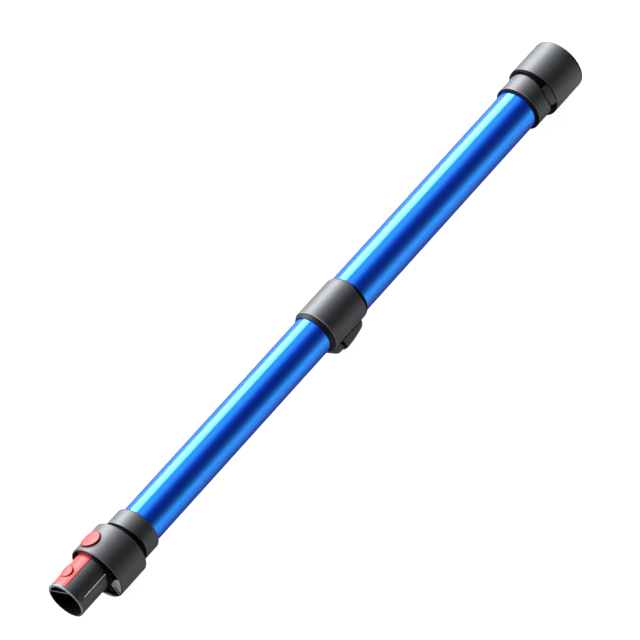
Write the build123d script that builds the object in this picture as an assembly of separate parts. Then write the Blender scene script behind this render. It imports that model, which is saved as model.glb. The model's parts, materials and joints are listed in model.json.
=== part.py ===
from build123d import *
import os
from math import acos, atan2, cos, degrees, hypot, radians, sin, tan

# A telescopic vacuum wand, pulled out to its full length and lying at rest.
# It is built along X with its upper side towards +Z, in millimetres.
# The machine end is at -X, the tool end at +X, and x = 0 is the front face of the lock sleeve.
# At the end the whole wand rolls about its own axis until its trigger meets the floor.

# Clearances
seat_gap = 0.05          # between pieces that are glued or pressed together
guide_gap = 0.2          # between a tube and what guides it
free_gap = 0.3           # between pieces that move past each other

# Tubes
inner_r = 17.9
inner_wall = 1.0
outer_r = 19.25
outer_wall = 0.75
channel_half = 3.5       # half the width of the rolled channel along the underside
channel_depth = 1.3
bare_inner = 234.2       # inner tube that shows between the neck and the lock sleeve
bare_outer = 243.6       # outer tube that shows between the lock sleeve and the tool neck
tube_overlap = 76.0      # inner tube that is still inside when the wand is pulled out

# Spigot at the machine end
spigot_r = 17.2
spigot_wall = 2.2
spigot_rise = 4.45       # its axis lies above the axis of the tubes
spigot_reach = 35.8      # from its mouth to the rim of the collar
mouth_round = 0.5
land_length = 2.5        # plain land at the mouth, which centres the spigot in its socket
land_height = 0.25
web_rise = 8.75          # flat shelf under the latch, above the axis of the spigot
web_thickness = 1.2
web_set_back = 0.5
rail_angle = 91.5        # of each guide rail, from the top
rail_half = 1.2
rail_height = 0.8
rail_set_back = 4.2
rail_nose = 3.0
seal_thickness = 1.0
seal_tilt = 7.85         # the front of the root seal leans by this
seal_reach = 3.1         # in front of the rim, at the height of the spigot's axis
seal_tail = 2.6          # behind the rim, above the cheeks

# Collar and neck at the machine end
collar_r = 25.5
collar_length = 31.6
collar_wall = 2.2
collar_round = 2.0
rim_flat = 0.3
rim_round = 1.1
rim_chamfer = 1.5
bulkhead = 5.0
root_boss = 7.0          # solid ring that holds the spigot and the lever pin
groove_r = 19.4          # dark undercut between the collar and the neck
groove_width = 6.8       # at the sides; the neck's edge leans forward above and below
groove_lean = 6.1
neck_r = 20.7
neck_length = 22.7       # from the rear of the collar to the end of the neck
neck_round_x = 3.2
neck_round_r = 2.3
duct_r = 14.6            # air way between two axes that are not in line
cheek_top = ((25.2, -2.5), (19.7, -3.9))
cheek_corner = (9.0, -10.7)
cheek_foot = 11.6        # half the width of the pocket at its bottom
cheek_foot_z = -20.5
cheek_slot = (1.4, 6.2, 6.0)
cheek_slot_at = (13.1, -16.5)
cheek_slot_lean = 10.0

# Release lever, with its latch tongue and its round button
tongue_half = 8.86
tongue_thickness = 2.0
tongue_set_back = 2.8    # from the mouth of the spigot to its front end
bump_r = 5.75
bump_set_back = 15.2     # from the mouth of the spigot to its centre
bump_height = 1.6
button_r = 8.75
button_set_back = 12.2   # from the rim of the collar to its centre
button_proud = 1.5
lever_step = 1.0         # the thick part of the lever starts this far behind the rim
lever_under = 18.6
lever_pin_r = 1.25
lever_pin_z = 20.2
lever_barrel_r = 2.2

# Power contacts
block_half = 8.6
block_set_back = 11.0
blade = (17.0, 1.0, 5.0)
blade_y = 4.0
blade_z = -17.2
screw_head_r = 2.1
screw_head = 1.3
screw_shank_r = 1.1
screw_length = 8.0

# Lock sleeve with its guide and seal rings
sleeve_r = 21.1
sleeve_length = 45.4
sleeve_round_x = 4.8
sleeve_round_r = 1.7
bush_length = 10.5
wiper_length = 2.2
wiper_wall = 0.85
front_ring_length = 4.0
front_ring_lip = 0.4
liner_length = 38.0
stop_gap = 0.4

# Trigger and lock pawl under the sleeve
trigger_half = 9.8
trigger_wall = 2.0
trigger_floor = 1.4
trigger_front_x = 9.9
trigger_rear_x = 38.9
trigger_top_z = -15.0
trigger_front_z = -28.1
trigger_mid = (22.6, -27.4)
trigger_back = (33.3, -25.4)
trigger_tail = (37.4, -22.9)
trigger_rear_z = -18.4
trigger_corner = 1.4
trigger_brow = 7.2       # half the width of its narrow front
trigger_brow_x = 12.6
trigger_round = 2.5
trigger_pin = (34.6, -20.6)
trigger_pin_r = 1.25
trigger_pin_half = 8.9
trigger_swing = 4.5
nose_half = 9.0
nose_b = 26.5
nose_length = 8.6
nose_round_x = 6.5
nose_round = 2.8
ear_inner = 5.2
ear_thickness = 1.7
ear_front_x = 20.8
ear_b = 22.9
ear_end_r = 1.9
pawl_half = 2.4
pawl_pin = (23.6, -21.2)
pawl_pin_r = 1.0
pawl_boss_r = 2.2
pawl_arm = 2.0
pawl_tip_x = 12.4
pawl_push_x = 13.4
tooth_x = 31.0
tooth_width = 2.0
slot_half = 2.9
slot_end_x = 34.5
notch_pitch = 25.0
notch_count = 10
notch_length = 3.6
notch_half = 2.8
wire_r = 0.3

# Tool end
tool_neck_r = 21.9
tool_neck_length = 15.1  # at the sides; its edge leans back above and below
tool_lip = 1.0
shoulder_length = 8.3    # also at the sides
shoulder_lean = 15.3
shoulder_core_r = 20.9
insert_flat = 3.9
seam_width = 0.35
seam_depth = 0.6
cuff_r = 25.0
cuff_beyond = 3.7        # in front of the seat of the tool's spigot
cuff_round = 2.0
cuff_lip = 0.4
socket_fit = 0.25        # the socket is this much larger in radius than the spigot
gusset_from = 67.0       # side ramps across the shoulder, in degrees from the top
gusset_to = 114.0
socket_seal_wall = 2.2
socket_seal_step = 0.6
contact_r = 1.2
contact_length = 17.0
contact_block_length = 18.0
contact_recess = 6.0
contact_skin = 2.4

# Stations along X
neck_end_x = -bare_inner
collar_rear_x = neck_end_x - neck_length
collar_front_x = collar_rear_x - collar_length
mouth_x = collar_front_x - spigot_reach
bulkhead_x = collar_rear_x - bulkhead
boss_x = bulkhead_x - root_boss
inner_start_x = collar_rear_x - 1.0
inner_end_x = tube_overlap
outer_start_x = bush_length + free_gap
tool_neck_x = sleeve_length + bare_outer
shoulder_x = tool_neck_x + tool_neck_length
cuff_x = shoulder_x + shoulder_length
cuff_end_x = cuff_x + cuff_beyond + spigot_reach
outer_end_x = cuff_x - 3.0
socket_seat_x = cuff_end_x - spigot_reach
socket_bottom_x = socket_seat_x - socket_seal_wall
button_x = collar_front_x + button_set_back
lever_pin_x = bulkhead_x - lever_barrel_r - free_gap
bump_x = mouth_x + bump_set_back

# Sizes that follow from others
spigot_bore_r = spigot_r - spigot_wall
shaft_r = spigot_r - land_height
shell_r = collar_r - collar_wall
web_z = spigot_rise + web_rise
web_top = web_z + web_thickness / 2
inner_bore_r = inner_r - inner_wall
outer_bore_r = outer_r - outer_wall
sleeve_bore_r = outer_r + seat_gap
guide_r = inner_r + guide_gap
channel_b = inner_r - channel_depth
tongue_slot_half = tongue_half + free_gap
trigger_inner_half = trigger_half - trigger_wall
socket_r = spigot_r + socket_fit
tooth_tip_z = -channel_b - free_gap


def across(x):
    """A plane square to the wand at x, whose own axes are Y and Z."""
    return Plane(origin=(x, 0, 0), x_dir=(0, 1, 0), z_dir=(1, 0, 0))


def prism(x0, x1, sketch):
    """A sketch in Y and Z, drawn out along X from x0 to x1."""
    return extrude(across(x0) * sketch, amount=x1 - x0)


def rod(x0, x1, r, rise=0.0):
    return prism(x0, x1, Pos(0, rise) * Circle(r))


def block(x0, x1, y0, y1, z0, z1):
    middle = Pos((x0 + x1) / 2, (y0 + y1) / 2, (z0 + z1) / 2)
    return middle * Box(x1 - x0, y1 - y0, z1 - z0)


def cross_rod(x, z, r, half):
    """A round bar along Y, through the middle of the wand."""
    return Pos(x, 0, z) * Rot(90, 0, 0) * Cylinder(r, 2 * half)


def side_plate(outline, half):
    """A face in X and Z, thickened to both sides of the middle plane."""
    return extrude(Plane.XZ * outline, amount=half, both=True)


def polygon(*points):
    return make_face(Polyline(*points, close=True))


def turned(*edges):
    """A closed outline of radius over X, turned about the axis of the tubes."""
    return revolve(make_face(Curve() + list(edges)), Axis.X)


def ring(x0, x1, r_out, r_in):
    return rod(x0, x1, r_out) - rod(x0 - 1, x1 + 1, r_in)


def sector(x0, x1, start, end, r=60.0):
    """A wedge of space between two angles, in degrees from the top towards -Y."""
    points = [(0, 0)]
    steps = 4
    for i in range(steps + 1):
        angle = radians(start + (end - start) * i / steps)
        points.append((-r * sin(angle), r * cos(angle)))
    return prism(x0, x1, polygon(*points))


def tube_outline(gap=0.0):
    """The outside of the inner tube, with its channel along the underside."""
    channel = Pos(0, -channel_b - 5 - gap) * Rectangle(2 * (channel_half - gap), 10)
    return Circle(inner_r + gap) - channel


def tube_hollow(gap=0.0):
    """The inside of the inner tube, less a gap for what is plugged into it."""
    floor = channel_b - inner_wall - gap
    ridge = Pos(0, -floor - 5) * Rectangle(2 * (channel_half + inner_wall + gap), 10)
    return Circle(inner_bore_r - gap) - ridge


def inner_tube():
    section = tube_outline() - tube_hollow()
    tube = prism(inner_start_x, inner_end_x, section)
    first = tooth_x + tooth_width / 2 + notch_pitch / 2
    for i in range(notch_count):
        x = first - i * notch_pitch
        tube -= block(x - notch_length / 2, x + notch_length / 2, -notch_half, notch_half, -inner_r, -12)
    return tube


def end_bush():
    """The plastic bush in the inner end of the inner tube, with its running flange."""
    plug_length = 14.0
    flange = 3.0
    bore_r = inner_bore_r - 1.4
    plug = prism(inner_end_x - plug_length, inner_end_x, tube_hollow(seat_gap))
    head = rod(inner_end_x, inner_end_x + flange, outer_bore_r - guide_gap)
    way = rod(inner_end_x - plug_length - 1, inner_end_x + flange + 1, bore_r)
    flat_z = -channel_b + inner_wall + 1.3
    flat = block(inner_end_x - plug_length, inner_end_x + flange, -6, 6, -inner_r, flat_z)
    return plug + head - (way - flat)


def spigot_rails():
    rails = []
    x0 = mouth_x + rail_set_back
    nose_x = x0 + rail_nose
    half = rail_half
    plan = polygon((x0, 0), (nose_x, half), (boss_x, half), (boss_x, -half), (nose_x, -half))
    bar = extrude(Plane.XY * plan, amount=rail_height + 1.0)
    for side in (-1, 1):
        turn = Rot(side * rail_angle, 0, 0)
        rails.append(Pos(0, 0, spigot_rise) * turn * Pos(0, 0, spigot_r - 1.0) * bar)
    return rails


def spigot_tube():
    r = spigot_r
    bore = spigot_bore_r
    land_x = mouth_x + land_length
    skin = turned(
        Line((bulkhead_x, bore), (bulkhead_x, shaft_r)),
        Line((bulkhead_x, shaft_r), (land_x, shaft_r)),
        Line((land_x, shaft_r), (land_x, r)),
        Line((land_x, r), (mouth_x + mouth_round, r)),
        TangentArc((mouth_x + mouth_round, r), (mouth_x, r - mouth_round), tangent=(-1, 0)),
        Line((mouth_x, r - mouth_round), (mouth_x, bore)),
        Line((mouth_x, bore), (bulkhead_x, bore)),
    )
    tube = Pos(0, 0, spigot_rise) * skin
    slot_x = mouth_x + tongue_set_back - free_gap
    tube -= block(slot_x, bulkhead_x + 1, -tongue_slot_half, tongue_slot_half, web_top, web_top + 12)
    shelf = Pos(0, web_z) * Rectangle(2 * bore, web_thickness)
    shelf &= Pos(0, spigot_rise) * Circle(bore + spigot_wall / 2)
    tube += prism(mouth_x + web_set_back, bulkhead_x, shelf)
    for rail in spigot_rails():
        tube += rail
    return tube


def root_seal():
    """The rubber ring round the root of the spigot; its front leans back towards the top."""
    x_back = collar_front_x + seal_tail
    band = rod(x_back - 12, x_back, spigot_r + seal_thickness, spigot_rise)
    band -= rod(x_back - 13, x_back + 1, shaft_r + seat_gap, spigot_rise)
    front = Pos(collar_front_x - seal_reach, 0, spigot_rise) * Rot(0, seal_tilt, 0)
    band -= front * Pos(-25, 0, 0) * Box(50, 60, 60)
    edge_half = tongue_slot_half + free_gap
    band -= block(x_back - 13, x_back + 1, -edge_half, edge_half, web_top, 40)
    band -= block(collar_front_x - free_gap, x_back + 1, -30, 30, -30, cheek_top[0][1] + 1.5)
    for rail in spigot_rails():
        band -= offset(rail, amount=seat_gap)
    return band


def collar_skin():
    """Collar, undercut and neck, turned in one, still solid inside."""
    rear = collar_rear_x
    front = collar_front_x
    neck_turn = neck_end_x - neck_round_x
    neck_low = neck_r - neck_round_r
    return turned(
        Line((front, 0), (front, collar_r - rim_round)),
        TangentArc((front + rim_round, collar_r), (front, collar_r - rim_round), tangent=(-1, 0)),
        Line((front + rim_round, collar_r), (rear - collar_round, collar_r)),
        TangentArc((rear - collar_round, collar_r), (rear, collar_r - collar_round), tangent=(1, 0)),
        Line((rear, collar_r - collar_round), (rear, neck_r)),
        Line((rear, neck_r), (neck_turn, neck_r)),
        TangentArc((neck_turn, neck_r), (neck_end_x, neck_low), tangent=(1, 0)),
        Line((neck_end_x, neck_low), (neck_end_x, 0)),
        Line((neck_end_x, 0), (front, 0)),
    )


def leaning_space(x_side, x_far, lean, gap=0.0):
    """The space from x_far to an edge that leans from x_side at the sides to both flats."""
    high = 30.0
    near = x_side + gap
    slant = near + high * tan(radians(lean))
    far = x_far - gap
    outline = polygon((near, 0), (slant, high), (far, high), (far, -high), (slant, -high))
    return side_plate(outline, 40)


def neck_undercut():
    space = leaning_space(collar_rear_x + groove_width, collar_rear_x, -groove_lean)
    return space - rod(collar_rear_x - 1, neck_end_x, groove_r)


def cheek(side):
    """One of the two solid cheeks beside the contact pocket."""
    far = 30.0
    points = list(cheek_top) + [cheek_corner, (cheek_foot, cheek_foot_z), (cheek_foot, -far), (far, -far)]
    points.append((far, cheek_top[0][1]))
    outline = polygon(*[(side * y, z) for y, z in points])
    outline &= Circle(collar_r - rim_round)
    outline -= Pos(0, spigot_rise) * Circle(spigot_r + free_gap)
    body = prism(collar_front_x, boss_x + 1, outline)
    width, height, depth = cheek_slot
    slot = Pos(side * cheek_slot_at[0], cheek_slot_at[1]) * Rot(0, 0, side * cheek_slot_lean)
    slot *= Rectangle(width, height)
    return body - prism(collar_front_x - 1, collar_front_x + depth, slot)


def machine_collar():
    body = collar_skin() - neck_undercut()
    mouth = turned(
        Line((collar_front_x - 1, 0), (collar_front_x - 1, collar_r - rim_round - 0.1)),
        Line((collar_front_x - 1, collar_r - rim_round - 0.1), (collar_front_x, collar_r - rim_round - 0.1)),
        Line((collar_front_x, collar_r - rim_round - 0.1), (collar_front_x + rim_chamfer, shell_r)),
        Line((collar_front_x + rim_chamfer, shell_r), (boss_x, shell_r)),
        Line((boss_x, shell_r), (boss_x, 0)),
        Line((boss_x, 0), (collar_front_x - 1, 0)),
    )
    body -= mouth
    for side in (-1, 1):
        body += cheek(side)
    body -= rod(boss_x - 1, bulkhead_x, shaft_r + seat_gap, spigot_rise)
    body -= rod(bulkhead_x - 1, inner_start_x + 1, duct_r, spigot_rise / 2)
    body -= prism(inner_start_x - seat_gap, neck_end_x + 1, tube_outline(seat_gap))
    slot = Pos(0, web_top + 10) * Rectangle(2 * tongue_slot_half, 20) & Circle(shell_r)
    body -= prism(boss_x - 1, bulkhead_x, slot)
    body -= Pos(button_x, 0, collar_r) * Cylinder(button_r + free_gap, 12)
    body -= cross_rod(lever_pin_x, lever_pin_z, lever_pin_r + seat_gap, tongue_half + 2.9)
    return body


def latch_tongue():
    """The thin front of the lever, which lies flush in the top of the spigot."""
    arc = Pos(0, spigot_rise) * (Circle(shaft_r) - Circle(shaft_r - tongue_thickness))
    arc &= Pos(0, spigot_rise + spigot_r) * Rectangle(2 * tongue_half, 24)
    tongue = prism(mouth_x + tongue_set_back, collar_front_x + lever_step + 2, arc)
    lean = degrees(atan2(bump_height, 2 * bump_r))
    heel = Pos(bump_x - bump_r, 0, spigot_rise) * Rot(0, -lean, 0) * Rot(0, 90, 0) * Cylinder(spigot_r, 60)
    bump = Pos(bump_x, 0, spigot_rise + spigot_r) * Cylinder(bump_r, 6) & heel
    return tongue + bump


def release_lever():
    """Latch tongue, thick part and round button, moulded in one piece."""
    lever_r = shell_r - free_gap
    thick = Circle(lever_r)
    thick &= Pos(0, lever_under + 10) * Rectangle(2 * tongue_half, 20)
    back_x = lever_pin_x
    lever = latch_tongue() + prism(collar_front_x + lever_step, back_x, thick)
    barrel = cross_rod(lever_pin_x, lever_pin_z, lever_barrel_r, tongue_half)
    lever += barrel & rod(boss_x, bulkhead_x, lever_r)
    stem = Pos(button_x, 0, lever_under + 6) * Cylinder(button_r, 12)
    top = collar_r + button_proud
    dome = Pos(button_x, 0, 0) * Rot(0, 90, 0) * Cylinder(top, 40)
    lever += stem & dome
    lever -= cross_rod(lever_pin_x, lever_pin_z, lever_pin_r + seat_gap, tongue_half + 1)
    return lever


def coil(radius, height, turns, wire):
    """A compression spring that stands along Z from z = 0."""
    path = Helix(pitch=(height - 2 * wire) / turns, height=height - 2 * wire, radius=radius)
    section = Plane(origin=path @ 0, z_dir=path % 0) * Circle(wire)
    return Pos(0, 0, wire) * sweep(section, path=path)


def lever_spring():
    height = lever_under - web_top - 2 * seat_gap
    return Pos(button_x, 0, web_top + seat_gap) * coil(3.0, height, 4, wire_r)


def lever_pin_piece():
    return cross_rod(lever_pin_x, lever_pin_z, lever_pin_r, tongue_half + 2.6)


def contact_block():
    x0 = collar_front_x + block_set_back
    outline = Pos(0, -20) * Rectangle(2 * block_half, 24) & Circle(shell_r - seat_gap)
    outline -= Pos(0, spigot_rise) * Circle(spigot_r + free_gap)
    body = prism(x0, boss_x - seat_gap, outline)
    for piece in contact_blades():
        body -= offset(piece, amount=seat_gap)
    body -= rod(x0 - 1, x0 + screw_length, screw_shank_r + seat_gap, blade_z)
    return body


def contact_blades():
    length, width, height = blade
    x0 = collar_front_x + 0.4
    z0 = blade_z - height / 2
    middle = block(x0, x0 + length, -width / 2, width / 2, z0, z0 + height)
    return [Pos(0, y, 0) * middle for y in (-blade_y, blade_y)]


def contact_screw():
    x0 = collar_front_x + block_set_back
    shank = rod(x0 - 0.5, x0 + screw_length - 0.3, screw_shank_r, blade_z)
    head = rod(x0 - screw_head, x0 - seat_gap, screw_head_r, blade_z)
    cross = block(x0 - screw_head - 1, x0 - screw_head + 0.6, -0.25, 0.25, blade_z - 1.3, blade_z + 1.3)
    bar = block(x0 - screw_head - 1, x0 - screw_head + 0.6, -1.3, 1.3, blade_z - 0.25, blade_z + 0.25)
    return shank + head - cross - bar


def outer_tube():
    tube = ring(outer_start_x, outer_end_x, outer_r, outer_bore_r)
    return tube - block(outer_start_x - 1, slot_end_x, -slot_half, slot_half, -outer_r - 1, -12)


def side_edges(body, half, below):
    """The edges in both side faces of a plate, below a height."""
    return body.edges().filter_by(lambda e: abs(abs(e.center().Y) - half) < 0.01 and e.center().Z < below)


def nose():
    """The rounded fixed nose in front of the trigger."""
    top = -sleeve_bore_r + 1.2
    base = polygon((0, top), (0, -sleeve_r), (nose_length, -sleeve_r), (nose_length, top))
    turn_x = nose_round_x
    chin = polygon((turn_x, -sleeve_r), (turn_x, -nose_b), (nose_length, -nose_b), (nose_length, -sleeve_r))
    bow = Pos(turn_x, -sleeve_r) * Ellipse(turn_x, nose_b - sleeve_r)
    bow &= polygon((0, -sleeve_r), (0, -nose_b), (turn_x, -nose_b), (turn_x, -sleeve_r))
    body = side_plate(base + chin + bow, nose_half)
    low_edges = side_edges(body, nose_half, -sleeve_r)
    return fillet(low_edges.filter_by(lambda e: e.center().X < nose_length - 0.1), nose_round)


def sleeve_ears():
    """Two plates under the sleeve that carry the pins of trigger and pawl."""
    top = -sleeve_bore_r - 0.2
    x, z = trigger_pin
    low_end = z - ear_end_r
    low_x = pawl_pin[0] + 2
    outline = polygon((ear_front_x, top), (ear_front_x, -ear_b), (low_x, -ear_b), (x, low_end), (x, z),
                      (x + ear_end_r, z), (x + ear_end_r, top))
    outline += Pos(x, z) * Circle(ear_end_r)
    plates = side_plate(outline, ear_inner + ear_thickness)
    return plates - block(ear_front_x - 1, x + ear_end_r + 1, -ear_inner, ear_inner, -30, 0)


def lock_sleeve():
    turn_x = sleeve_length - sleeve_round_x
    end_r = sleeve_r - sleeve_round_r
    skin = turned(
        Line((0, 0), (0, sleeve_r - rim_flat)),
        Line((0, sleeve_r - rim_flat), (rim_flat, sleeve_r)),
        Line((rim_flat, sleeve_r), (turn_x, sleeve_r)),
        TangentArc((turn_x, sleeve_r), (sleeve_length, end_r), tangent=(1, 0)),
        Line((sleeve_length, end_r), (sleeve_length, 0)),
        Line((sleeve_length, 0), (0, 0)),
    )
    body = skin + nose() + sleeve_ears()
    body -= rod(-1, sleeve_length + 1, sleeve_bore_r)
    body -= block(outer_start_x, slot_end_x, -slot_half, slot_half, -sleeve_r - 1, -12)
    skirt_in = trigger_inner_half - free_gap
    skirt_out = trigger_half + free_gap
    for side in (-1, 1):
        y0, y1 = sorted((side * skirt_in, side * skirt_out))
        body -= block(nose_length, trigger_pin[0], y0, y1, -sleeve_r - 2, -12)
    body -= cross_rod(*trigger_pin, trigger_pin_r + seat_gap, trigger_pin_half + 0.2)
    body -= cross_rod(*pawl_pin, pawl_pin_r + seat_gap, trigger_inner_half)
    return body


def front_ring():
    """The dark cone in front of the sleeve, which holds the felt wiper."""
    low = guide_r + front_ring_lip
    x0 = -front_ring_length
    cone = turned(
        Line((x0, guide_r + guide_gap), (x0, low + 0.2)),
        Line((x0, low + 0.2), (-seat_gap, sleeve_r - rim_flat)),
        Line((-seat_gap, sleeve_r - rim_flat), (-seat_gap, guide_r + guide_gap)),
        Line((-seat_gap, guide_r + guide_gap), (x0, guide_r + guide_gap)),
    )
    return cone - rod(-wiper_length - seat_gap, 1, guide_r + wiper_wall)


def felt_wiper():
    return ring(-wiper_length, -seat_gap, guide_r + wiper_wall - seat_gap, guide_r)


def guide_bush():
    """The bush in the mouth of the sleeve, with the key that runs in the channel."""
    return prism(seat_gap, bush_length, Circle(outer_r) - tube_outline(guide_gap))


def glide_liner():
    """The thin liner inside the outer tube; its end stops the inner tube."""
    x1 = inner_end_x - stop_gap
    return ring(x1 - liner_length, x1, outer_bore_r - seat_gap, guide_r)


def trigger_outline():
    front = trigger_front_x
    high = (front, trigger_top_z)
    low = (front, trigger_front_z + trigger_corner)
    chin = (front + trigger_corner, trigger_front_z)
    rear = (trigger_rear_x, trigger_rear_z)
    far = (trigger_rear_x, trigger_top_z)
    return make_face(Curve() + [
        Line(high, low),
        TangentArc(low, chin, tangent=(0, -1)),
        ThreePointArc(chin, trigger_mid, trigger_back),
        ThreePointArc(trigger_back, trigger_tail, rear),
        Line(rear, far),
        Line(far, high),
    ])


def trigger():
    """The curved key under the sleeve, hollow inside, with a bar that pushes the pawl."""
    inside = trigger_inner_half
    shell = side_plate(trigger_outline(), trigger_half)
    shell = fillet(side_edges(shell, trigger_half, trigger_rear_z - trigger_round), trigger_round)
    hollow = side_plate(offset(trigger_outline(), amount=-trigger_floor), inside)
    front_x = trigger_front_x + trigger_floor
    rear_x = trigger_rear_x - trigger_floor
    hollow += block(front_x, rear_x, -inside, inside, trigger_rear_z - 1, 0)
    for side in (-1, 1):
        y0, y1 = sorted((side * trigger_brow, side * (trigger_half + 1)))
        shell -= block(trigger_front_x - 1, trigger_brow_x, y0, y1, trigger_front_z - 1, 0)
    push_z = pawl_pin[1] - pawl_arm
    push = block(pawl_push_x - 1, pawl_push_x + 1, -inside, inside, trigger_front_z + 1, push_z)
    body = shell - (hollow - push)
    lift = (trigger_pin[0] - trigger_front_x) * sin(radians(trigger_swing))
    body -= rod(0, 60, sleeve_r + free_gap)
    body -= rod(0, pawl_pin[0], sleeve_r + lift + free_gap) & block(0, 60, -inside, inside, -40, 0)
    body -= cross_rod(*trigger_pin, trigger_pin_r + seat_gap, trigger_pin_half + 0.2)
    return body


def lock_pawl():
    x, z = pawl_pin
    tip_x = pawl_tip_x
    front = side_plate(polygon((tip_x, z - 1.5), (tip_x, z + 0.3), (x, z + 1.6), (x, z - 1.9)), pawl_half)
    back_x = tooth_x + tooth_width
    rear = side_plate(polygon((x, z - 1.2), (x, z + 1.6), (tooth_x, z + 1.6), (tooth_x, tooth_tip_z),
                              (back_x, tooth_tip_z), (back_x, z - 0.2)), pawl_half)
    body = front + rear + cross_rod(x, z, pawl_boss_r, pawl_half)
    return body - cross_rod(x, z, pawl_pin_r + seat_gap, pawl_half + 1)


def pawl_spring():
    """A torsion spring round the pawl pin, beside the pawl."""
    width = ear_inner - pawl_half - 0.4
    turns = coil(pawl_boss_r - 0.6, width, 3, wire_r)
    return Pos(pawl_pin[0], pawl_half + 0.2 + width, pawl_pin[1]) * Rot(90, 0, 0) * turns


def cuff_skin():
    """The tool neck and the cuff, turned in one, still solid inside."""
    lip_r = tool_neck_r - tool_lip
    turn_x = cuff_end_x - cuff_round
    end_r = cuff_r - cuff_round + cuff_lip
    return turned(
        Line((tool_neck_x, 0), (tool_neck_x, lip_r)),
        Line((tool_neck_x, lip_r), (tool_neck_x + tool_lip, tool_neck_r)),
        Line((tool_neck_x + tool_lip, tool_neck_r), (cuff_x, tool_neck_r)),
        Line((cuff_x, tool_neck_r), (cuff_x, cuff_r)),
        Line((cuff_x, cuff_r), (turn_x, cuff_r)),
        TangentArc((turn_x, cuff_r), (cuff_end_x, end_r), tangent=(1, 0)),
        Line((cuff_end_x, end_r), (cuff_end_x, 0)),
        Line((cuff_end_x, 0), (tool_neck_x, 0)),
    )


def shoulder_ring(start, end, flat=0.0, gap=0.0):
    """Part of the ring between the neck and the cuff, between two angles from the top."""
    low = shoulder_core_r + gap
    ramp_x = shoulder_x + flat
    start_x = shoulder_x - 1
    neck = tool_neck_r
    outline = polygon((start_x, low), (start_x, neck), (ramp_x, neck), (cuff_x, cuff_r), (cuff_x, low))
    ring_body = revolve(outline, Axis.X)
    ring_body &= leaning_space(shoulder_x, cuff_x, shoulder_lean, gap)
    return ring_body & sector(start_x, cuff_x + 1, start, end)


def slit():
    """The thin groove between the neck and the side ramps."""
    strip = leaning_space(shoulder_x, cuff_x, shoulder_lean)
    strip -= leaning_space(shoulder_x + seam_width, cuff_x + seam_width, shoulder_lean)
    return strip - rod(shoulder_x - 1, cuff_x + 1, tool_neck_r - seam_depth)


def shoulder_insert(start, end):
    """A black insert in the shoulder, between the two side ramps."""
    margin = 0.2
    return shoulder_ring(start + margin, end - margin, insert_flat, seat_gap)


def contact_outline(gap=0.0):
    """The space for the contacts under the socket, which leaves the socket's wall whole."""
    top = spigot_rise - socket_r - contact_skin / 2
    return Pos(0, top - 10 + gap) * Rectangle(2 * (block_half + gap), 20)


def tool_cuff():
    recess = leaning_space(shoulder_x, cuff_x, shoulder_lean)
    body = cuff_skin() - (recess - rod(shoulder_x - 1, cuff_x + 1, shoulder_core_r))
    for side in (-1, 1):
        start, end = sorted((side * gusset_from, side * gusset_to))
        ramp = shoulder_ring(start, end)
        ramp -= ring(cuff_x - seam_width, cuff_x + 1, cuff_r + 1, cuff_r - seam_depth)
        body += ramp - slit()
    body -= rod(tool_neck_x - 1, outer_end_x + seat_gap, sleeve_bore_r)
    body -= rod(outer_end_x - 1, socket_bottom_x + 1, duct_r, spigot_rise / 2)
    body -= rod(socket_bottom_x, socket_seat_x, socket_r + socket_seal_step, spigot_rise)
    body -= rod(socket_seat_x, cuff_end_x + 1, socket_r, spigot_rise)
    latch = Pos(0, spigot_rise) * Circle(socket_r + bump_height + free_gap)
    latch &= Pos(0, spigot_rise + socket_r) * Rectangle(2 * (bump_r + 0.6), 16)
    latch_x = cuff_end_x - spigot_reach + bump_set_back
    body -= prism(latch_x - bump_r - 0.8, latch_x + bump_r + 0.8, latch)
    groove = Box(spigot_reach, 2 * rail_half + 0.8, 4.0)
    for side in (-1, 1):
        turn = Pos(0, 0, spigot_rise) * Rot(side * rail_angle, 0, 0)
        place = Pos(cuff_end_x - spigot_reach / 2 + 1, 0, spigot_r + rail_height + free_gap - 2)
        body -= turn * place * groove
    pocket = contact_outline(guide_gap) & Circle(cuff_r - contact_skin)
    body -= prism(cuff_end_x - contact_recess - contact_block_length, cuff_end_x + 1, pocket)
    return body


def socket_seal():
    r_in = spigot_bore_r + 0.2
    r_out = socket_r + socket_seal_step - seat_gap
    body = rod(socket_bottom_x + seat_gap, socket_seat_x - seat_gap, r_out, spigot_rise)
    body -= rod(socket_bottom_x - 1, socket_seat_x + 1, r_in, spigot_rise)
    return body


def socket_contacts():
    x1 = cuff_end_x - contact_recess + 3.0
    return [Pos(0, y, 0) * rod(x1 - contact_length, x1, contact_r, blade_z) for y in (-blade_y, blade_y)]


def socket_contact_block():
    x1 = cuff_end_x - contact_recess
    outline = contact_outline() & Circle(cuff_r - contact_skin - seat_gap)
    body = prism(x1 - contact_block_length + seat_gap, x1, outline)
    for piece in socket_contacts():
        body -= offset(piece, amount=seat_gap)
    return body


def lean_angle():
    """The roll at which the collar and the trigger both meet the floor."""
    y = trigger_half - trigger_round
    b = -trigger_front_z - trigger_round
    return degrees(atan2(y, b) + acos((collar_r - trigger_round) / hypot(y, b)))


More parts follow.
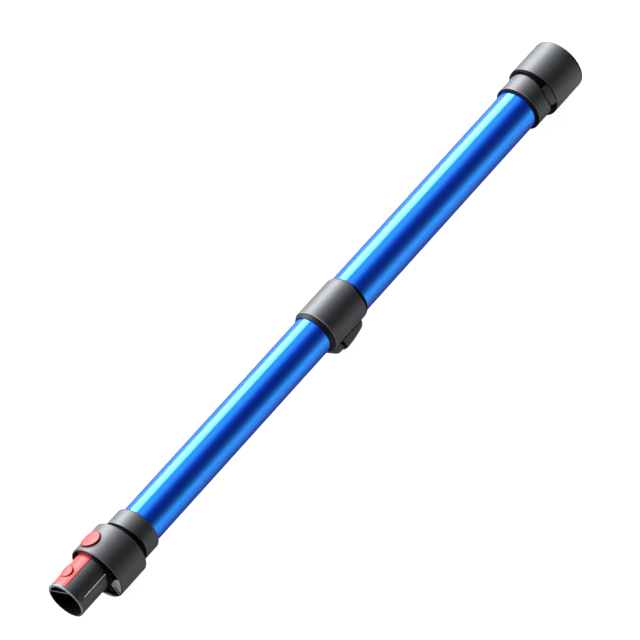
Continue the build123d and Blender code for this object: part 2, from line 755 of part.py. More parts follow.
def all_pieces():
    left_blade, right_blade = contact_blades()
    left_contact, right_contact = socket_contacts()
    return {
        "inner_tube": inner_tube(),
        "end_bush": end_bush(),
        "spigot_tube": spigot_tube(),
        "root_seal": root_seal(),
        "machine_collar": machine_collar(),
        "release_lever": release_lever(),
        "lever_spring": lever_spring(),
        "lever_pin": lever_pin_piece(),
        "contact_block": contact_block(),
        "contact_blade_left": left_blade,
        "contact_blade_right": right_blade,
        "contact_screw": contact_screw(),
        "outer_tube": outer_tube(),
        "lock_sleeve": lock_sleeve(),
        "front_ring": front_ring(),
        "felt_wiper": felt_wiper(),
        "guide_bush": guide_bush(),
        "glide_liner": glide_liner(),
        "trigger": trigger(),
        "trigger_pin": cross_rod(*trigger_pin, trigger_pin_r, trigger_pin_half),
        "lock_pawl": lock_pawl(),
        "pawl_pin": cross_rod(*pawl_pin, pawl_pin_r, ear_inner + ear_thickness),
        "pawl_spring": pawl_spring(),
        "tool_cuff": tool_cuff(),
        "shoulder_insert_top": shoulder_insert(-gusset_from, gusset_from),
        "shoulder_insert_bottom": shoulder_insert(gusset_to, 360 - gusset_to),
        "socket_seal": socket_seal(),
        "socket_contact_block": socket_contact_block(),
        "socket_contact_left": left_contact,
        "socket_contact_right": right_contact,
    }


pieces = all_pieces()
lean = lean_angle()
rolled = {name: Rot(-lean, 0, 0) * piece for name, piece in pieces.items()}
box = Compound(children=[Compound(children=list(p.solids())) for p in rolled.values()]).bounding_box()
to_floor = Pos(-(box.min.X + box.max.X) / 2, -(box.min.Y + box.max.Y) / 2, -box.min.Z)

os.makedirs("parts", exist_ok=True)
for name, piece in rolled.items():
    export_step(to_floor * piece, f"parts/{name}.step")
print("lean", round(lean, 2), "axis at", [round(v, 3) for v in to_floor.position])
print("size", [round(v, 2) for v in box.size])
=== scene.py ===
# %% [markdown]
# # A telescopic vacuum wand
#
# This notebook dresses an exact model of a telescopic vacuum wand: two blue anodised tubes, dark
# moulded plastic at both ends and in the middle, and a red latch. The shapes come from a packed
# model, and each of its pieces keeps its place. What is left to do here is what a studio does:
# finishes, light and a camera.

import json
from math import cos, degrees, radians, sin

import bpy
from mathutils import Matrix, Vector


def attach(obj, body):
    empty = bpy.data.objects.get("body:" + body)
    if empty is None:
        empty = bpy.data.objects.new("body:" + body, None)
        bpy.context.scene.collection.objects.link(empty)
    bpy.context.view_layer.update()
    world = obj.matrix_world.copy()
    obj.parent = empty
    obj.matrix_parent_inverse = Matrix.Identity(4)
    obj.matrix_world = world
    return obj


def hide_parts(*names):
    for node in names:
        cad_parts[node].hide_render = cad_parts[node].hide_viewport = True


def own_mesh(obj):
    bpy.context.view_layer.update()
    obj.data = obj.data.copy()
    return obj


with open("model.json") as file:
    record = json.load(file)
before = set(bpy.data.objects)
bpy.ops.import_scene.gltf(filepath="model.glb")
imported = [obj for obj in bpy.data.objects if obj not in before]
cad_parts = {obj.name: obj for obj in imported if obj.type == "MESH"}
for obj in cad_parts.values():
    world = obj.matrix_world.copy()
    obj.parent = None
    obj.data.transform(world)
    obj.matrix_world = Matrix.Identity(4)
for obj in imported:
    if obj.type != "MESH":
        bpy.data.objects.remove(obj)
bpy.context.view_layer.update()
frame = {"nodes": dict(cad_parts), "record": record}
parts = frame["nodes"]

# %% [markdown]
# ## The wand's own space
#
# The wand lies on the floor, rolled about its long axis until its trigger and its collar both
# touch. Its finishes are easier to describe in its own space, where x runs along the wand from the
# front of the lock sleeve, z points to the button's side, and the axis of the tubes is y = z = 0.
# These numbers say how that space lies in the room.

# %% Roll and axis
roll = radians(-46.15)
axis_point = Vector((-0.0138, 0.000256, 0.0255))
to_room = Matrix.Translation(axis_point) @ Matrix.Rotation(roll, 4, "X")

# %% [markdown]
# Stations along the wand, in metres, and the radii that the finishes need. They follow the solid
# parts. Machine end first: the spigot's mouth, the machine collar and its neck, the lock sleeve
# with its trigger, and then the tool cuff with its neck and its shoulder.

# %% Stations and radii
MM = 0.001
mouth = -324.3 * MM
collar_front = -288.5 * MM
collar_rear = -256.9 * MM
neck_end = -234.2 * MM
trigger_front = 9.9 * MM
trigger_rear = 38.9 * MM
sleeve_end = 45.4 * MM
inner_end = 76.0 * MM
tool_neck = 289.0 * MM
shoulder = 304.1 * MM
cuff_start = 312.4 * MM
cuff_end = 351.9 * MM
spigot_rise = 4.45 * MM
spigot_r = 17.2 * MM
neck_r = 20.3 * MM
collar_wall_r = 24.0 * MM
slot_half = 9.95 * MM
print("length", round(cuff_end - mouth, 4), "m")

# %% [markdown]
# ## Writing shaders as sums
#
# A material in Blender is a graph of nodes. Drawn by hand, a simple sum needs a node for each sign.
# A small class that stands for a wire does that work: adding or multiplying two wires adds the Math
# node and returns its output, so a mask reads like a formula.

# %% A wire between nodes
class Wire:
    def __init__(self, graph, socket):
        self.graph = graph
        self.socket = socket

    def math(self, operation, *values):
        return self.graph.node("ShaderNodeMath", {"operation": operation}, dict(enumerate(values)))

    def __add__(self, other):
        return self.math("ADD", self, other)

    __radd__ = __add__

    def __sub__(self, other):
        return self.math("SUBTRACT", self, other)

    def __rsub__(self, other):
        return self.math("SUBTRACT", other, self)

    def __mul__(self, other):
        return self.math("MULTIPLY", self, other)

    def __truediv__(self, other):
        return self.math("DIVIDE", self, other)

    def __pow__(self, other):
        return self.math("POWER", self, other)

    def size(self):
        return self.math("ABSOLUTE", self)


# %% [markdown]
# A graph is a tree of nodes that can be added to. Its method `node` adds any node: the settings
# come first, then the values or wires of its inputs. Most masks are made of two of its methods:
# `between` is a soft step, 0 below its start and 1 above its end, and `until` is the same step the
# other way up. `band` is one of each, back to back.

# %% A graph of nodes
class Graph:
    def __init__(self, tree):
        self.tree = tree

    def plug(self, socket, value):
        if isinstance(value, Wire):
            self.tree.links.new(value.socket, socket)
        else:
            socket.default_value = value

    def node(self, kind, settings={}, inputs={}, output=0):
        made = self.tree.nodes.new(kind)
        for name, value in settings.items():
            setattr(made, name, value)
        for name, value in inputs.items():
            self.plug(made.inputs[name], value)
        return Wire(self, made.outputs[output])

    def between(self, value, start, end):
        inputs = {"Value": value, "From Min": start, "From Max": end}
        return self.node("ShaderNodeMapRange", {"interpolation_type": "SMOOTHSTEP"}, inputs)

    def until(self, value, start, end):
        return 1 - self.between(value, start, end)

    def band(self, value, start, end, soft=0.12 * MM):
        above = self.between(value, start - soft, start + soft)
        return above * self.until(value, end - soft, end + soft)

    def xyz(self, vector):
        """The x, the y and the z of a vector."""
        kind = "ShaderNodeSeparateXYZ"
        return [self.node(kind, {}, {"Vector": vector}, output=letter) for letter in "XYZ"]

    def mix(self, mask, first, second):
        """The first colour where the mask is 0, the second where it is 1."""
        # A Mix node has a pair of inputs for each kind of value, and its colours are 6 and 7.
        inputs = {"Factor": mask, 6: first, 7: second}
        return self.node("ShaderNodeMix", {"data_type": "RGBA"}, inputs, output=2)

    def bump(self, height, distance, strength):
        inputs = {"Height": height, "Distance": distance, "Strength": strength}
        return self.node("ShaderNodeBump", {}, inputs)


# %% [markdown]
# A finish is a material whose graph starts with one Principled shader. `cover` lays a second one
# over it where a mask says so, through a Mix Shader, as painted shade in a recess of a shiny part
# needs: a dark colour alone would still gleam there.

# %% A finish
class Finish(Graph):
    def __init__(self, name):
        self.material = bpy.data.materials.new(name)
        self.material.use_nodes = True
        Graph.__init__(self, self.material.node_tree)
        self.shader = self.tree.nodes["Principled BSDF"]
        self.surface = Wire(self, self.shader.outputs[0])

    def fill(self, shader, values):
        for name, value in values.items():
            self.plug(shader.inputs[name.replace("_", " ")], value)

    def set(self, **values):
        self.fill(self.shader, values)

    def tint(self, mask, shade):
        """Moves the base colour towards a shade where the mask is 1."""
        before = Wire(self, self.shader.inputs["Base Color"].links[0].from_socket)
        self.set(Base_Color=self.mix(mask, before, shade))

    def cover(self, mask, **values):
        """Lays a second shader over the first where the mask is 1."""
        over = self.tree.nodes.new("ShaderNodeBsdfPrincipled")
        self.fill(over, values)
        layers = {0: mask, 1: self.surface, 2: Wire(self, over.outputs[0])}
        self.surface = self.node("ShaderNodeMixShader", {}, layers)
        self.plug(self.tree.nodes["Material Output"].inputs["Surface"], self.surface)


# %% [markdown]
# Every finish starts from the same place: the piece's own coordinates, turned into the wand's own
# space. A Mapping node of the type Texture takes a place and a turn away from a point, which is
# exactly that. Its x is the station along the wand, and its y and z give the distance from the
# axis. Noise in that space can be stretched along the wand.

# %% Where a point lies on the wand
def wand_place(finish):
    room = finish.node("ShaderNodeTexCoord", output="Object")
    inputs = {"Vector": room, "Location": axis_point, "Rotation": (roll, 0, 0)}
    return finish.node("ShaderNodeMapping", {"vector_type": "TEXTURE"}, inputs)


def from_axis(y, z):
    return (y * y + z * z) ** 0.5


def noise(finish, place, scale, stretch=(1, 1, 1)):
    """A cloud pattern from 0 to 1, whose grains are longer where the stretch is smaller."""
    settings = {"operation": "MULTIPLY"}
    stretched = finish.node("ShaderNodeVectorMath", settings, {0: place, 1: stretch})
    inputs = {"Vector": stretched, "Scale": scale, "Detail": 2.0}
    return finish.node("ShaderNodeTexNoise", {}, inputs)


# %% [markdown]
# ## Blue anodised tube
#
# The tubes are drawn aluminium with a clear blue anodised skin. Four things make it look real: the
# metal tints its reflections blue, the dye in the skin gives the shaded side a deeper and purer
# blue, the clear skin adds a thin white gloss on top, and the drawing has left very fine lines
# along the tube. The lines are a noise stretched along x, so they run the length of the tube. The
# dye is laid over the metal with a Mix Shader, and the two share one gloss. Where a tube is handled
# or slides, a few of its lines are rubbed paler.

# %% Anodised skin
def anodised(name, wear_from, wear_to):
    skin = Finish(name)
    place = wand_place(skin)
    x = skin.xyz(place)[0]
    lines = noise(skin, place, 1900, (0.004, 1, 1))
    cloud = noise(skin, place, 18, (0.4, 1, 1))
    scratch = noise(skin, place, 2600, (0.006, 1, 1))
    fade = 12 * MM
    handled = skin.between(x, wear_from, wear_from + fade)
    handled = handled * skin.until(x, wear_to - fade, wear_to)
    wear_and_highlight = skin.between(scratch, 0.62, 0.72) * handled
    blue = skin.mix(cloud, (0.0, 0.24, 0.76, 1), (0.0, 0.265, 0.82, 1))
    blue = skin.mix(wear_and_highlight * 0.12, blue, (0.10, 0.42, 0.90, 1))
    dye = skin.mix(cloud, (0.004, 0.020, 0.68, 1), (0.005, 0.028, 0.76, 1))
    relief = skin.bump(lines + wear_and_highlight * 0.5, 0.004 * MM, 0.12)
    gloss = {"Normal": relief, "Coat_Weight": 0.44 + cloud * 0.08, "Coat_Roughness": 0.21}
    rough = 0.15 + lines * 0.03 + wear_and_highlight * 0.05
    edge_tint = (0.1, 0.4, 1.0, 1)
    skin.set(Base_Color=blue, Metallic=1.0, Roughness=rough, Specular_Tint=edge_tint, **gloss)
    dye_share = 0.32
    skin.cover(dye_share, Base_Color=dye, Roughness=0.6, Specular_IOR_Level=0.0, **gloss)
    return skin


inner_blue = anodised("blue anodised inner", neck_end + 20 * MM, inner_end)
outer_blue = anodised("blue anodised outer", 50 * MM, 290 * MM)
print("tubes:", inner_blue.material.name, "and", outer_blue.material.name)

# %% [markdown]
# ## Dark moulded plastic
#
# The collar, the lock sleeve, the cuff and the trigger are one charcoal plastic, straight from a
# polished mould that has a very fine grain. The grain is too small to see as dots. It shows as a
# slight spread of the highlight, so it goes into the roughness and into a bump of a few hundredths
# of a millimetre.

# %% Charcoal plastic
def charcoal(name, rough=0.45):
    plastic = Finish(name)
    place = wand_place(plastic)
    grain = noise(plastic, place, 2200)
    cloud = noise(plastic, place, 40)
    shade = (0.0062, 0.0066, 0.0075, 1)
    paler = (0.00775, 0.00825, 0.009375, 1)
    plastic.set(Base_Color=plastic.mix(cloud, shade, paler))
    plastic.set(Roughness=rough + grain * 0.08 + cloud * 0.04)
    plastic.set(Normal=plastic.bump(grain, 0.03 * MM, 0.35), Specular_IOR_Level=0.62)
    return plastic, *plastic.xyz(place)


dark_plastic = charcoal("charcoal plastic")[0]
print("moulded parts:", dark_plastic.material.name)

# %% [markdown]
# The machine collar is the same plastic with two places painted black as shade: the undercut
# between the collar and its neck, and the inside of the collar. Both are found by where they are:
# the undercut lies behind the collar and closer to the axis than the neck, and the inside of the
# collar is closer to the axis than its wall. The flat front faces of the two cheeks are painted
# paler as light falling on them, with a line of painted shade where they meet the wall.

# %% Masks of the collar
collar_plastic, x, y, z = charcoal("charcoal plastic collar")
radius = from_axis(y, z)
# Painted shade: the undercut behind the collar and the inside of the collar get a black cover.
behind = collar_plastic.between(x, collar_rear - 0.4 * MM, collar_rear - 0.1 * MM)
undercut = behind * collar_plastic.until(radius, neck_r - 0.5 * MM, neck_r)
front_face = collar_plastic.until(x, collar_front + 0.04 * MM, collar_front + 0.08 * MM)
inside = collar_plastic.until(radius, collar_wall_r - 0.4 * MM, collar_wall_r)
inside = inside * (1 - front_face) * (1 - behind)
cheek_top = -3.6 * MM
cheek_face = front_face * collar_plastic.until(z, cheek_top - 0.6 * MM, cheek_top)
# Painted shade: a black line where each cheek face meets the wall.
cheek_outline = cheek_face * collar_plastic.band(radius, 24.1 * MM, 24.8 * MM)
print("collar masks use", len(collar_plastic.tree.nodes), "nodes")

# %% [markdown]
# Each cheek has a slot, which leans by 10 degrees. The slot and a thin rim round it are painted
# black as shade. Two distances say how far a point is from the middle of the slot, one across it
# and one along it. Then all the places of painted shade are joined in one mask, and a matt black is
# laid over the plastic there.

# %% Collar with painted shade in its recesses
# A matt black, laid on as painted shade in recesses, gaps and shaded ends, and on one dark seam of
# the cuff.
shade_and_seam_black = {"Base_Color": (0.0008, 0.0008, 0.001, 1), "Roughness": 0.7}
shade_and_seam_black["Specular_IOR_Level"] = 0.04
# A pale grey painted on faces and edges as light falling on them.
painted_light_grey = (0.42, 0.42, 0.43, 1)


def any_of(masks):
    """The largest of some masks."""
    whole = masks[0]
    for mask in masks[1:]:
        whole = whole.math("MAXIMUM", whole, mask)
    return whole


slot_y, slot_z, slot_lean = 13.1 * MM, -16.5 * MM, radians(10)
slot_shade_half_width, slot_shade_half_length = 1.0 * MM, 3.5 * MM
over = y.size() - slot_y
down = z - slot_z
across = (over * cos(slot_lean) + down * sin(slot_lean)).size()
along = (down * cos(slot_lean) - over * sin(slot_lean)).size()
# Painted shade: the slot and a thin rim round it.
slot_shade = collar_plastic.until(across, slot_shade_half_width - 0.05 * MM, slot_shade_half_width + 0.05 * MM)
slot_shade = slot_shade * collar_plastic.until(along, slot_shade_half_length - 0.1 * MM, slot_shade_half_length + 0.1 * MM)
# Painted light: the cheek faces are made paler as if lit.
collar_plastic.tint(cheek_face, painted_light_grey)
black_places = [undercut, inside, cheek_outline, slot_shade * cheek_face]
collar_plastic.cover(any_of(black_places), **shade_and_seam_black)
print(len(black_places), "kinds of recess are black on the", collar_plastic.material.name)

# %% [markdown]
# On the lock sleeve and the tool cuff, the front edge of the sleeve and the lip of the tool neck
# are painted paler as edge highlights. The rear end of the sleeve is painted black as shade, most
# deeply away from the button's side, and the slot for the trigger is painted black inside as shade,
# like the top of the trigger in it.

# %% Sleeve and trigger
# A pale grey painted on edges as highlights.
edge_highlight_grey = (0.15, 0.155, 0.17, 1)
edge_highlight_share = 0.8


# Painted shade at a far end of a part, deepest away from the button's side.
def lip_at(finish, x, z, end, depth):
    """The last stretch before an end, from nothing at the button's side to its full depth."""
    side = finish.until(z, 7 * MM, 18.5 * MM)
    return finish.between(x + side * depth, end - 0.2 * MM, end + 0.3 * MM)


sleeve_plastic, x, y, z = charcoal("charcoal plastic sleeve")
front_edge = sleeve_plastic.band(x, -0.1 * MM, 0.4 * MM)
# Painted highlight along the front edge of the sleeve.
sleeve_plastic.tint(front_edge * edge_highlight_share, edge_highlight_grey)
# Painted shade on the rear end of the sleeve.
rear_end_shade = lip_at(sleeve_plastic, x, z, sleeve_end, 4.0 * MM)
# Painted shade in the slot of the trigger.
slot_wall = sleeve_plastic.until(y.size(), slot_half + 0.4 * MM, slot_half + 0.6 * MM)
slot_wall = slot_wall * sleeve_plastic.band(x, trigger_front - 0.6 * MM, trigger_rear + 0.8 * MM)
slot_wall = slot_wall * sleeve_plastic.until(z, -16.5 * MM, -16.0 * MM)
sleeve_plastic.cover(any_of([rear_end_shade, slot_wall]), **shade_and_seam_black)

trigger_plastic, x, y, z = charcoal("charcoal plastic trigger")
# Painted shade on the top of the trigger, inside the slot.
in_the_slot = trigger_plastic.between(z, -19.7 * MM, -19.3 * MM)
trigger_plastic.cover(in_the_slot, **shade_and_seam_black)
print("lock:", sleeve_plastic.material.name, "and", trigger_plastic.material.name)

# %% [markdown]
# The tool cuff is painted black inside as shade, and on the lip that faces the floor side, as
# shade.
# Its shoulder has two dark lines. The rear one is painted shade in the step where the shoulder
# meets the cuff, and runs straight round. The front one is a dark seam that leans back on both
# sides, so it is drawn along a station that moves with the height z.

# %% Cuff with its seams
cuff_plastic, x, y, z = charcoal("charcoal plastic cuff")
radius = from_axis(y, z)
neck_lip = cuff_plastic.band(x, tool_neck + 1.2 * MM, tool_neck + 1.8 * MM)
# Painted highlight along the lip of the tool neck.
cuff_plastic.tint(neck_lip * edge_highlight_share, edge_highlight_grey)
# Painted shade inside the cuff.
hollow = cuff_plastic.until(radius, 18.8 * MM, 19.0 * MM)
# Painted shade in the step at the rear of the shoulder.
seam_rear = cuff_plastic.band(x, cuff_start - 0.6 * MM, cuff_start + 0.2 * MM)
seam_slope = 0.2736
seam_front = x - z.size() * seam_slope
seam_front = cuff_plastic.band(seam_front, shoulder - 0.2 * MM, shoulder + 0.5 * MM)
seam_front = seam_front * cuff_plastic.until(radius, 22.4 * MM, 22.7 * MM)
# Painted shade on the lip of the far end, away from the button's side.
far_end_shade = lip_at(cuff_plastic, x, z, cuff_end, 2.7 * MM)
black_places = [hollow, seam_rear, seam_front, far_end_shade]
cuff_plastic.cover(any_of(black_places), **shade_and_seam_black)
print(len(black_places), "places are black on the", cuff_plastic.material.name)

# %% [markdown]
# The spigot has its own axis, a little nearer the button than the axis of the tubes. Its mouth and
# the top edges of the two guide rails are painted paler as highlights: the mouth over its whole
# face on the button's side, and only along its outer edge elsewhere. A line of painted shade lies
# beside each rail, and the inside is painted black as shade.

# %% Spigot
spigot_plastic, x, y, z = charcoal("charcoal plastic spigot", rough=0.42)
above = z - spigot_rise
radius = from_axis(y, above)
outer_edge = spigot_plastic.between(radius, spigot_r - 1.1 * MM, spigot_r - 0.8 * MM)
# Painted highlight: the outer edge of the mouth, and its whole face on the button's side.
wear_and_highlight = any_of([outer_edge, spigot_plastic.between(above, 5 * MM, 11 * MM)])
mouth_rim = spigot_plastic.band(x, mouth - 1.0 * MM, mouth + 0.6 * MM) * wear_and_highlight
rail_top = spigot_plastic.between(radius, spigot_r + 0.35 * MM, spigot_r + 0.5 * MM)
# Painted highlight along the top edge of each rail.
rail_edge = rail_top * spigot_plastic.between(above, 0.1 * MM, 0.3 * MM)
# Painted shade in a line beside each rail.
rail_shade = (1 - rail_top) * spigot_plastic.band(above, 0.7 * MM, 1.4 * MM)
rail_shade = rail_shade * spigot_plastic.between(x, mouth + 5 * MM, mouth + 7 * MM)
spigot_plastic.tint(mouth_rim * 0.75, edge_highlight_grey)
spigot_plastic.tint(rail_edge, painted_light_grey)
# Painted shade inside the bore.
bore = spigot_plastic.until(radius, spigot_r - 2.0 * MM, spigot_r - 1.8 * MM)
bore = bore * (1 - mouth_rim)
spigot_plastic.cover(any_of([bore, rail_shade * 0.8]), **shade_and_seam_black)
print("black inside:", spigot_plastic.material.name)

# %% [markdown]
# ## Red latch
#
# The latch, its thick part and the round button are one coral red moulding. Its surface is smoother
# than the dark plastic's, but it gleams less, which gives the flat faces their even, milky look.

# %% Red plastic
red_plastic = Finish("red plastic")
place = wand_place(red_plastic)
x, y, z = red_plastic.xyz(place)
grain = noise(red_plastic, place, 1800)
cloud = noise(red_plastic, place, 60)
coral = red_plastic.mix(cloud, (0.56, 0.020, 0.018, 1), (0.62, 0.028, 0.025, 1))
red_plastic.set(Base_Color=coral, Roughness=0.38 + grain * 0.08)
red_plastic.set(Normal=red_plastic.bump(grain, 0.02 * MM, 0.3), Specular_IOR_Level=0.22)
print("latch:", red_plastic.material.name)

# %% [markdown]
# The walls of the button, of the bump and of the tongue are painted a darker red than their faces,
# as shade in the gap beside them. So is the tongue where it goes in under the collar, as painted
# shadow. The round walls are found by how far they are from the middle of their form.

# %% Painted shade on the walls of the red latch
button_x = collar_front + 12.2 * MM
bump_x = mouth + 15.2 * MM


def round_wall(middle, reach):
    distance = from_axis(x - middle, y)
    return red_plastic.band(distance, reach - 0.8 * MM, reach + 0.4 * MM, 0.2 * MM)


button_wall = round_wall(button_x, 8.75 * MM)
bump_wall = round_wall(bump_x, 5.75 * MM)
tongue_side = red_plastic.between(y.size(), 8.1 * MM, 8.4 * MM)
tongue_side = tongue_side * red_plastic.until(x, collar_front, collar_front + 1.0 * MM)
# Painted shadow on the tongue under the collar's rim.
under_rim = red_plastic.band(x, collar_front - 2.8 * MM, collar_front + 3.0 * MM, 1.2 * MM)
walls = [button_wall, bump_wall, tongue_side, under_rim]
# A darker red for the painted shade.
shade_red = (0.06, 0.0009, 0.0013, 1)
shade_red = {"Base_Color": shade_red, "Roughness": 0.6, "Specular_IOR_Level": 0.15}
red_plastic.cover(any_of(walls) * 0.9, **shade_red)
print(len(walls), "kinds of wall are darker")

# %% [markdown]
# ## Rubber, black plastic and felt
#
# The seals are matt rubber with a fine dusty tooth. The ring in front of the sleeve and the small
# blocks are a duller black plastic. The inserts of the tool shoulder are smoother, and so dark that
# they hardly gleam. The wiper is felt: short fibres, lighter and darker, with no gloss at all.

# %% Black finishes
def black(name, shade, rough, tooth_scale, tooth_depth, gloss):
    finish = Finish(name)
    tooth = noise(finish, wand_place(finish), tooth_scale)
    paler = tuple(v * 1.6 for v in shade)
    finish.set(Base_Color=finish.mix(tooth, (*shade, 1), (*paler, 1)))
    finish.set(Roughness=rough + tooth * 0.1, Specular_IOR_Level=gloss)
    finish.set(Normal=finish.bump(tooth, tooth_depth, 0.5))
    return finish


rubber = black("black rubber", (0.0018, 0.0018, 0.0020), 0.62, 1400, 0.04 * MM, 0.06)
black_plastic = black("black plastic", (0.0018, 0.0018, 0.0021), 0.42, 2000, 0.02 * MM, 0.14)
smooth_black = (0.0008, 0.0008, 0.001)
gloss_black = black("gloss black plastic", smooth_black, 0.3, 900, 0.005 * MM, 0.02)
felt = black("felt", (0.008, 0.008, 0.009), 0.85, 5200, 0.2 * MM, 0.1)
print("blacks:", [f.material.name for f in (rubber, black_plastic, gloss_black, felt)])

# %% [markdown]
# ## Metal and white plastic
#
# The pins and springs are steel, the contacts brass, and the bushes that the tubes run on are a
# white plastic with a waxy surface. The brass is painted dark as shade, since the contacts sit in a
# dark pocket. Turned metal shows fine rings, so its noise is stretched across its length.

# %% Small metal parts and bushes
def metal(name, shade, rough):
    finish = Finish(name)
    rings = noise(finish, wand_place(finish), 3000, (1, 0.05, 1))
    darker = tuple(v * 0.8 for v in shade)
    finish.set(Base_Color=finish.mix(rings, (*darker, 1), (*shade, 1)), Metallic=1.0)
    finish.set(Roughness=rough + rings * 0.15, Normal=finish.bump(rings, 0.01 * MM, 0.5))
    return finish


steel = metal("steel", (0.60, 0.60, 0.61), 0.22)
spring_steel = metal("spring steel", (0.46, 0.46, 0.47), 0.28)
# Brass painted dark as shade, for contacts deep in their pocket.
shaded_brass = metal("brass contact", (0.11, 0.08, 0.035), 0.45)

white_bush = Finish("white bush")
wax = noise(white_bush, wand_place(white_bush), 500)
white_bush.set(Base_Color=white_bush.mix(wax, (0.70, 0.70, 0.67, 1), (0.78, 0.78, 0.76, 1)))
white_bush.set(Roughness=0.38 + wax * 0.1, Normal=white_bush.bump(wax, 0.02 * MM, 0.3))
print("inside:", [f.material.name for f in (steel, spring_steel, shaded_brass, white_bush)])

# %% [markdown]
# ## Dressing the solid parts
#
# Each solid part names the finish it wants. Seven parts have one of their own, because their masks
# follow their shape. The parts keep their meshes. Only their material slots change.

# %% Finishes on parts
by_slot = {
    "dark_plastic": dark_plastic,
    "red_plastic": red_plastic,
    "black_rubber": rubber,
    "black_plastic": black_plastic,
    "gloss_black": gloss_black,
    "steel": steel,
    "spring_steel": spring_steel,
    "brass_contact": shaded_brass,
    "white_bush": white_bush,
    "felt": felt,
}
by_part = {
    "inner_tube": inner_blue,
    "outer_tube": outer_blue,
    "spigot_tube": spigot_plastic,
    "machine_collar": collar_plastic,
    "lock_sleeve": sleeve_plastic,
    "trigger": trigger_plastic,
    "tool_cuff": cuff_plastic,
}
slot_of = {p["node"]: p["material_slot"] for p in frame["record"]["subparts"]}
for name, part in parts.items():
    finish = by_part.get(name) or by_slot[slot_of[name]]
    part.data.materials.clear()
    part.data.materials.append(finish.material)
print("dressed", len(parts), "parts")

# %% [markdown]
# ## Pieces made here
#
# Two pieces are modelled here. Both are drawn about the Z axis and then carried to their place on
# the wand, so that they end at the room's origin, unturned, with their place in the mesh.

# %% Carry a piece to its place
def settle(piece, name, place, finish, body):
    piece.name = name
    piece.matrix_world = to_room @ place
    bpy.ops.object.transform_apply(location=True, rotation=True, scale=True)
    bpy.ops.object.shade_smooth_by_angle(angle=radians(35))
    piece.data.materials.append(finish.material)
    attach(piece, body)
    print(name, len(piece.data.vertices), "points, rides", body)


# %% [markdown]
# A black ring fills the gap between the outer tube and the mouth of the tool neck, a dark piece put
# there as painted shade in the gap. Its section is drawn once as pairs of station along the wand
# and distance from the axis. A circle of edges starts at the first pair, and is extruded and scaled
# from pair to pair until it is back where it began, which turns the section into a closed ring.

# %% Ring of painted shade at the tool neck
def ring_of(section):
    bpy.ops.object.select_all(action="DESELECT")
    first_r = section[0][1]
    bpy.ops.mesh.primitive_circle_add(vertices=144, radius=first_r, location=(0, 0, 0))
    bpy.ops.object.mode_set(mode="EDIT")
    bpy.ops.mesh.select_all(action="SELECT")
    for (x0, r0), (x1, r1) in zip(section, section[1:] + section[:1]):
        bpy.ops.mesh.extrude_edges_move(TRANSFORM_OT_translate={"value": (0, 0, x1 - x0)})
        bpy.ops.transform.resize(value=(r1 / r0, r1 / r0, 1), center_override=(0, 0, 0))
    bpy.ops.mesh.select_all(action="SELECT")
    bpy.ops.mesh.remove_doubles(threshold=0.005 * MM)
    bpy.ops.mesh.normals_make_consistent(inside=False)
    bpy.ops.object.mode_set(mode="OBJECT")
    return bpy.context.object


# Section of the black ring of painted shade, in millimetres.
lip = [(289.3, 19.29), (288.85, 19.4), (288.75, 20.7), (289.0, 21.1)]
lip += [(289.85, 21.95), (290.4, 22.0), (290.5, 21.8), (289.3, 20.5)]
lip = [(station * MM, reach * MM) for station, reach in lip]
along_wand = Matrix.Translation((lip[0][0], 0, 0)) @ Matrix.Rotation(radians(90), 4, "Y")
neck_shade_ring = ring_of(lip)
settle(neck_shade_ring, "tool_neck_shade_ring", along_wand, rubber, "outer_wand")

# %% [markdown]
# The spring under the button gets shorter when the button is pressed. A solid part cannot do that,
# so a coil of the same size stands for it: a small circle of wire, turned about the Z axis and
# raised at the same time by a Screw modifier.

# %% Coil
def coil_of(wire_r, coil_r, height, turns):
    bpy.ops.object.select_all(action="DESELECT")
    upright = {"location": (0, 0, 0), "rotation": (radians(90), 0, 0)}
    bpy.ops.mesh.primitive_circle_add(vertices=14, radius=wire_r, **upright)
    bpy.ops.object.transform_apply(location=False, rotation=True, scale=True)
    coil = bpy.context.object
    bpy.ops.object.mode_set(mode="EDIT")
    bpy.ops.mesh.select_all(action="SELECT")
    bpy.ops.transform.translate(value=(coil_r, 0, wire_r))
    bpy.ops.object.mode_set(mode="OBJECT")
    winding = coil.modifiers.new("winding", "SCREW")
    winding.iterations = turns
    winding.screw_offset = (height - 2 * wire_r) / turns
    winding.steps = winding.render_steps = 28
    bpy.ops.object.modifier_apply(modifier=winding.name)
    bpy.ops.object.mode_set(mode="EDIT")
    bpy.ops.mesh.select_all(action="SELECT")
    bpy.ops.mesh.fill_holes(sides=0)
    bpy.ops.mesh.select_all(action="SELECT")
    bpy.ops.mesh.normals_make_consistent(inside=False)
    bpy.ops.object.mode_set(mode="OBJECT")
    return coil


# %% [markdown]
# The coil takes the place of the solid spring, which is hidden. The button goes down by 0.75 mm
# when it is pressed, and the spring loses that much of its height.

# %% Spring under the button
spring_height = 4.7 * MM
foot = Vector((button_x, 0, 13.85 * MM))
button_spring = coil_of(0.3 * MM, 3.0 * MM, spring_height, 4)
stand = Matrix.Translation(foot)
settle(button_spring, "button_spring", stand, spring_steel, "inner_wand")
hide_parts("lever_spring")
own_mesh(button_spring)

# %% [markdown]
# ## Floor
#
# The floor is a plain pale sweep that the camera sees evenly lit, as on a product table lit from
# below, so that the shadow of the wand stays faint. Close to the wand its colour is darker than
# further out, a painted shadow that the tubes show in their reflections. On the trigger's side a
# stretch of it glows a little, unseen by the camera, as a reflector card would, and lifts the lower
# edge of the tubes.

# %% Floor
bpy.ops.object.select_all(action="DESELECT")
bpy.ops.mesh.primitive_circle_add(vertices=96, radius=6, fill_type="NGON", location=(0, 0, 0))
floor = bpy.context.object
floor.name = "studio_floor"
paper = Finish("pale paper")
seen = paper.node("ShaderNodeLightPath", output="Is Camera Ray")
beside = paper.xyz(paper.node("ShaderNodeTexCoord", output="Object"))[1]
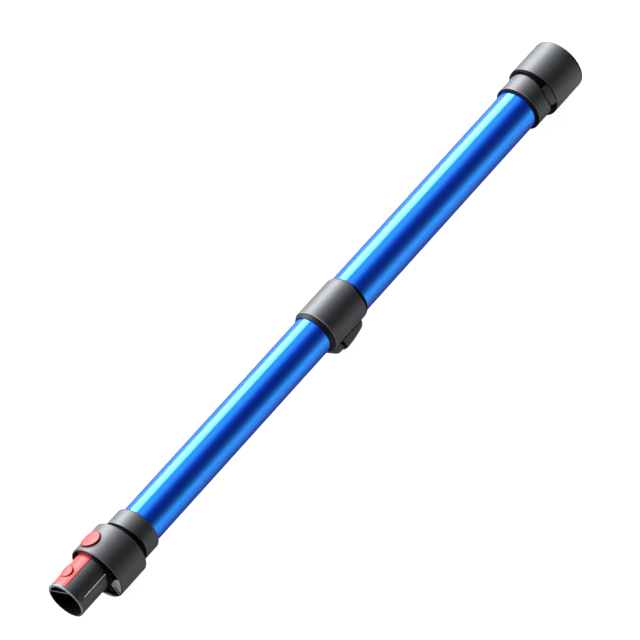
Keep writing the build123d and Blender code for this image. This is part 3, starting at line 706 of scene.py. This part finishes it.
# Painted shadow: the floor's colour is darker close to the wand.
far = paper.between(beside.size(), 22 * MM, 85 * MM)
shade = paper.mix(far, (0.2, 0.2, 0.2, 1), (0.76, 0.76, 0.76, 1))
card = paper.band(beside, -110 * MM, -32 * MM, 8 * MM) * (1 - seen)
paper.set(Base_Color=shade, Roughness=0.6, Specular_IOR_Level=0.1)
paper.set(Emission_Color=(1, 1, 1, 1), Emission_Strength=seen * 0.95 + card * 0.3)
floor.data.materials.append(paper.material)
print("floor of", paper.material.name)

# %% [markdown]
# ## Light
#
# A glossy tube shows its surroundings as long stripes. The studio is a set of long strips of light
# that run beside the wand: a bright wide window on the button's side with its hottest line level
# with the wand, a faint strip above it, and a weak one low on the trigger's side. Straight above it
# is nearly dark, and both ends are dimmed, most at the tool's end. A world shader whose brightness
# depends on the angle round the wand's direction makes such strips with soft edges, and lights the
# whole length evenly. The angles are in degrees above the horizon on the button's side.

# %% Strips of light
world = bpy.data.worlds.new("studio")
bpy.context.scene.world = world
world.use_nodes = True
sky = Graph(world.node_tree)
dx, dy, dz = sky.xyz(sky.node("ShaderNodeTexCoord", output="Generated"))
angle = dz.math("ARCTAN2", dz, dy) * degrees(1)


def strip(middle, width, power):
    """A soft strip of light round an angle."""
    away = (angle - middle) / width
    return sky.node("ShaderNodeMath", {"operation": "EXPONENT"}, {0: away * away * -1}) * power


window = sky.between(angle, -60, -50) * sky.until(angle, 27, 42) * 18.0
glow = window + strip(0, 12, 8.0) + strip(60, 21, 1.55)
glow = glow + strip(180, 26, 1.6) + strip(-180, 26, 1.6) + 0.06
machine_end = sky.between(dx * -1, 0.45, 0.85) * 0.6
tool_end = sky.between(dx, 0.62, 0.86) * 0.93
glow = glow * ((1 - machine_end) * (1 - tool_end))
background = world.node_tree.nodes["Background"]
sky.plug(background.inputs["Strength"], glow)
background.inputs["Color"].default_value = (0.93, 0.955, 1, 1)
print("studio light of", len(world.node_tree.nodes), "nodes")

# %% [markdown]
# ## Camera
#
# The camera looks down on the wand from far away with a long lens, and is turned so that the wand
# crosses the picture from the lower left to the upper right. Its three directions are the columns
# of its turn.

# %% Camera
lens_data = bpy.data.cameras.new("studio camera")
lens_data.sensor_width = 36
lens_data.lens = 219.26
camera = bpy.data.objects.new("studio_camera", lens_data)
bpy.context.scene.collection.objects.link(camera)
spot = Vector((-1.4968, -0.5897, 2.7853))
right = Vector((0.5940, -0.7901, 0.1515))
back = Vector((-0.4678, -0.1860, 0.8640)).normalized()
up = back.cross(right).normalized()
right = up.cross(back)
turn = Matrix((right, up, back)).transposed()
camera.matrix_world = Matrix.Translation(spot) @ turn.to_4x4()
bpy.context.scene.camera = camera
bpy.context.scene.view_settings.view_transform = "Standard"
print("camera", [round(degrees(v), 2) for v in camera.rotation_euler])
